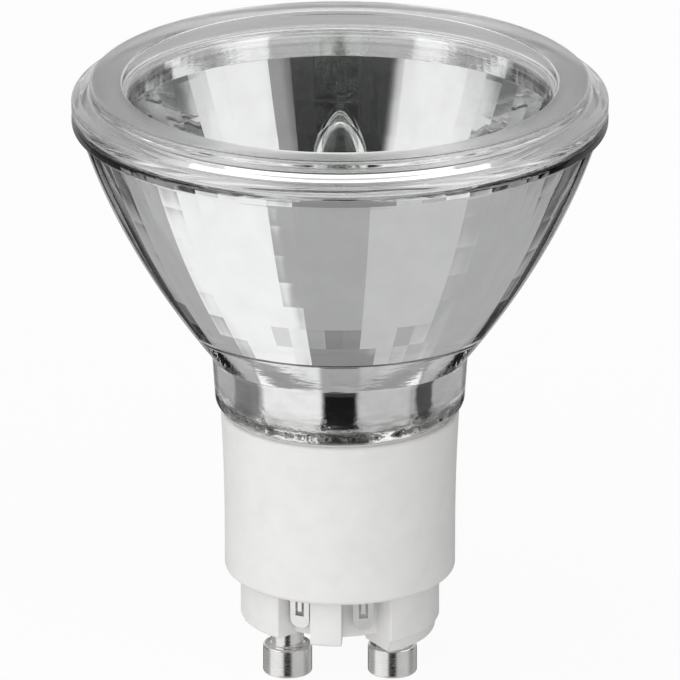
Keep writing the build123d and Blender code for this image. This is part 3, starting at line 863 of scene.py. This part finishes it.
class LAMP_OT_small_parts(bpy.types.Operator):
    """Finishes of the burner's parts, the tags and the bonds, which keep the shape of their solids"""

    bl_idname = "lamp.small_parts"
    bl_label = "Small parts"

    def execute(self, context):
        alumina = grainy("Arc tube alumina", (0.56, 0.545, 0.51), 0.2, (0.3, 0.5))
        tungsten = plated("Electrode metal", (0.42, 0.41, 0.40), 0.25, 0.4)
        molybdenum = plated("Lead metal", (0.55, 0.54, 0.52), 0.2, 0.35)
        frit = grainy("Frit", (0.70, 0.66, 0.58), 0.15)
        cement = grainy("Burner cement", (0.42, 0.41, 0.385), 0.3)
        bond = grainy("Base bond", (0.80, 0.79, 0.77), 0.3)
        tag = plated("Tag metal", (0.86, 0.86, 0.85), 0.1, 0.25, turning=(3, 3, 1))
        finishes = {
            "arc_tube": alumina,
            "upper_electrode": tungsten,
            "lower_electrode": tungsten,
            "upper_frit": frit,
            "lower_frit": frit,
            "return_lead": molybdenum,
            "short_lead": molybdenum,
            "left_foil": molybdenum,
            "right_foil": molybdenum,
            "left_lead_wire": molybdenum,
            "right_lead_wire": molybdenum,
            "burner_cement": cement,
            "base_cement": bond,
            "left_crimp_tag": tag,
            "right_crimp_tag": tag,
        }
        for node, material in finishes.items():
            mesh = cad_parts[node].data
            mesh.materials.clear()
            mesh.materials.append(material)
        return {"FINISHED"}


# The studio as glass and metal show it, laid in this order over plain grey walls. For each card or flag: the
# middle and half of its width, in degrees from the front and + to the right, its lower and upper edge, in
# degrees above the horizon, and its tone.
STUDIO_CARDS = (
    ("ground", 0, 190, -95, -75, 0.3),
    ("white table", -150, 100, -75, -58, 0.95),
    ("left low card", -85, 35, -75, -30, 1.0),
    ("right low card", 60, 35, -75, -30, 0.6),
    ("left front card", -55, 35, -30, 8, 0.95),
    ("right front card", 50, 30, -30, 8, 0.6),
    ("left shade", -115, 20, -20, 8, 0.2),
    ("right shade", 100, 12, -20, 8, 0.05),
    ("left back flag", -158, 8, -60, -20, 0.04),
    ("right back flag", 158, 8, -60, -20, 0.04),
    ("back card", 180, 35, -5, 15, 0.9),
    ("rail", 0, 110, 8, 15, 0.3),
    ("high walls", 180, 85, 15, 60, 0.6),
    ("left high card", -60, 32, 15, 60, 1.35),
    ("right high card", 65, 25, 15, 60, 1.35),
    ("back flag", 180, 8, 15, 30, 0.01),
    ("low camera gap", 0, 18, -32, -3, 0.01),
    ("high camera gap", 0, 30, 15, 45, 0.01),
    ("ceiling", 0, 190, 48, 95, 1.45),
)


class LAMP_OT_stage(bpy.types.Operator):
    """Pale floor, soft studio light and the camera"""

    bl_idname = "lamp.stage"
    bl_label = "Stage"

    def execute(self, context):
        studio = context.scene.lamp_studio
        scene = context.scene
        scene.view_settings.view_transform = "Standard"
        scene.cycles.max_bounces = 32
        scene.cycles.glossy_bounces = 12
        scene.cycles.transmission_bounces = 24
        self.floor(scene, studio)
        self.surroundings(scene, studio)
        self.camera(scene, studio)
        return {"FINISHED"}

    def floor(self, scene, studio):
        """A round sheet under the pins: rings of even step from the middle out."""
        floor_r, rings, drop = 600, 13, -0.01
        angles = even_angles(FLOOR_COLUMNS)
        radius = np.linspace(0, floor_r, rings)
        grid = turned(np.stack([radius, np.full_like(radius, drop)], axis=1), angles)
        number = np.arange(rings * len(angles)).reshape(rings, len(angles))
        beside = np.roll(number, -1, axis=1)
        faces = np.stack([number[:-1], beside[:-1], beside[1:], number[1:]], axis=-1).reshape(-1, 4)
        mesh = bpy.data.meshes.new("floor")
        mesh.from_pydata((grid.reshape(-1, 3) * MM).tolist(), [], faces[:, ::-1].tolist())
        made = bpy.data.objects.new("floor", mesh)
        scene.collection.objects.link(made)
        look = Finish("Floor", roughness=0.9)
        cloud = look.noise(120.0, detail=1.0)
        pale = tuple(studio.floor_colour)
        look.feed(base_color=look.tones(cloud, tuple(c * 0.99 for c in pale), pale))
        seen = look.node("ShaderNodeLightPath").outputs["Is Camera Ray"]
        white = look.node("ShaderNodeEmission", Color=(1, 1, 1, 1), Strength=1.0)
        mixed = look.node("ShaderNodeMixShader", Fac=look.math("MULTIPLY", seen, studio.floor_whiteness))
        look.tree.links.new(look.shader.outputs["BSDF"], mixed.inputs[1])
        look.tree.links.new(white.outputs["Emission"], mixed.inputs[2])
        look.tree.links.new(mixed.outputs["Shader"], look.tree.nodes["Material Output"].inputs["Surface"])
        mesh.materials.append(look.material)
        made.visible_glossy = False
        made.visible_transmission = False

    def surroundings(self, scene, studio):
        """White for the camera, soft light for matte surfaces, and a studio of cards for glass and metal.

        A card covers the cards before it where both the azimuth and the height of the direction are within
        its reach, with soft edges.
        """
        world = bpy.data.worlds.new("Studio")
        world.use_nodes = True
        scene.world = world
        kit = NodeKit(world.node_tree)
        direction = kit.node("ShaderNodeTexCoord").outputs["Generated"]
        axes = kit.node("ShaderNodeSeparateXYZ", Vector=direction).outputs
        azimuth = kit.math("ARCTAN2", axes["X"], kit.math("MULTIPLY", axes["Y"], -1.0))
        height = kit.math("ARCSINE", axes["Z"])

        studio_tone = studio.walls
        for card, middle, half, low, high, tone in STUDIO_CARDS:
            side = kit.math("WRAP", kit.math("SUBTRACT", azimuth, np.radians(middle)), np.pi, -np.pi)
            across = self.inside(kit, side, half, studio.card_softness)
            rise = kit.math("SUBTRACT", height, np.radians((low + high) / 2))
            upright = self.inside(kit, rise, (high - low) / 2, studio.card_softness / 2)
            studio_tone = kit.blend(kit.math("MULTIPLY", across, upright), studio_tone, tone)
            studio_tone.node.label = card

        path = kit.node("ShaderNodeLightPath").outputs
        shown = kit.blend(path["Is Camera Ray"], studio_tone, 1.0)
        facing = kit.node("ShaderNodeVectorMath", {"operation": "DOT_PRODUCT"})
        kit.put(facing.inputs[0], direction)
        key, fill_end, key_end = Vector((-0.51, -0.80, 0.31)).normalized(), -0.2, 1.0
        kit.put(facing.inputs[1], key)
        light = kit.climb(
            facing.outputs["Value"], fill_end, key_end, studio.light_low, studio.light_high
        )
        mirrored = kit.math("MAXIMUM", path["Is Glossy Ray"], path["Is Transmission Ray"])
        visible = kit.math("MAXIMUM", path["Is Camera Ray"], mirrored)
        background = kit.tree.nodes["Background"]
        background.inputs["Color"].default_value = (1, 1, 1, 1)
        kit.put(background.inputs["Strength"], kit.blend(visible, light, shown))

    def inside(self, kit, angle, half, softness):
        """1 where the angle is within half the width, falling to 0 over the softness."""
        low, high = np.radians(half) - softness / 2, np.radians(half) + softness / 2
        return kit.climb(kit.math("ABSOLUTE", angle), low, high, 1.0, 0.0)

    def camera(self, scene, studio):
        """A long lens in front, at the given elevation, that looks at the lamp's axis."""
        data = bpy.data.cameras.new("Camera")
        data.sensor_width = 36.0
        data.lens = studio.focal_length
        made = bpy.data.objects.new("Camera", data)
        aim = Vector((0, 0, studio.aim_height))
        back = Vector((0, -np.cos(studio.elevation), np.sin(studio.elevation)))
        made.location = aim + back * studio.distance
        made.rotation_euler = (-back).to_track_quat("-Z", "Y").to_euler()
        scene.collection.objects.link(made)
        scene.camera = made


class LAMP_PT_sidebar(bpy.types.Panel):
    """Lists the lamp's pieces"""

    bl_idname = "LAMP_PT_sidebar"
    bl_label = "Reflector lamp"
    bl_space_type = "VIEW_3D"
    bl_region_type = "UI"
    bl_category = "Lamp"

    def draw(self, context):
        for operator in PIECES:
            self.layout.operator(operator.bl_idname)


SETTINGS = {"lamp_reflector": ReflectorSettings, "lamp_studio": StudioSettings}
PIECES = (
    LAMP_OT_reflector,
    LAMP_OT_mouth_ring,
    LAMP_OT_front_glass,
    LAMP_OT_ceramic_base,
    LAMP_OT_contact_pins,
    LAMP_OT_quartz_bulb,
    LAMP_OT_small_parts,
    LAMP_OT_stage,
)


def register():
    """Add the classes and their settings."""
    for cls in (*SETTINGS.values(), *PIECES, LAMP_PT_sidebar):
        bpy.utils.register_class(cls)
    for name, group in SETTINGS.items():
        setattr(bpy.types.Scene, name, bpy.props.PointerProperty(type=group))


def unregister():
    """Take the settings and the classes away again."""
    for name in SETTINGS:
        delattr(bpy.types.Scene, name)
    for cls in (LAMP_PT_sidebar, *reversed(PIECES), *SETTINGS.values()):
        bpy.utils.unregister_class(cls)


def main():
    """Register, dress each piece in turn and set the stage."""
    register()
    bpy.ops.lamp.reflector()
    bpy.ops.lamp.mouth_ring()
    bpy.ops.lamp.front_glass()
    bpy.ops.lamp.ceramic_base()
    bpy.ops.lamp.contact_pins()
    bpy.ops.lamp.quartz_bulb()
    bpy.ops.lamp.small_parts()
    bpy.ops.lamp.stage()


if __name__ == "__main__":
    main()
